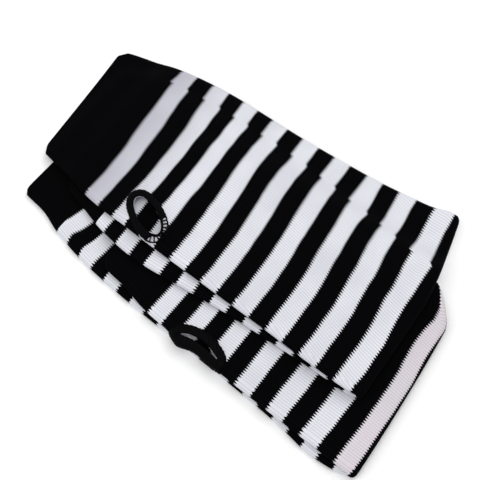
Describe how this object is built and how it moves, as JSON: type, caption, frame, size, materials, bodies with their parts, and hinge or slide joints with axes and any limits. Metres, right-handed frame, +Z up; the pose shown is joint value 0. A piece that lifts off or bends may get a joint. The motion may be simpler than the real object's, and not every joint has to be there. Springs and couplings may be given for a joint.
{
  "type": "pair of knitted arm warmers",
  "caption": "Striped knitted arm warmers with thumb holes and plain cuffs, each tube folded in half across its width and laid one on the other.",
  "frame": {"origin": "middle of the pair's bounding box, on the surface that it rests on", "axes": "+X from the cuffs to the folds, +Y from the near long edge to the far one, +Z up"},
  "size_m": [0.212, 0.1292, 0.0163],
  "materials": {
    "black_knit": "soft matt knit",
    "striped_knit": "soft matt knit, black and white stripes in the visual model",
    "black_thread": "matt overlock thread"
  },
  "bodies": {
    "root": {"upper_hand_cuff": "black_knit", "upper_hand_sleeve": "striped_knit", "upper_arm_sleeve": "striped_knit", "upper_arm_cuff": "black_knit", "upper_thumb_edge": "black_thread", "lower_hand_cuff": "black_knit", "lower_hand_sleeve": "striped_knit", "lower_arm_sleeve": "striped_knit", "lower_arm_cuff": "black_knit", "lower_thumb_edge": "black_thread"}
  },
  "joints": []
}
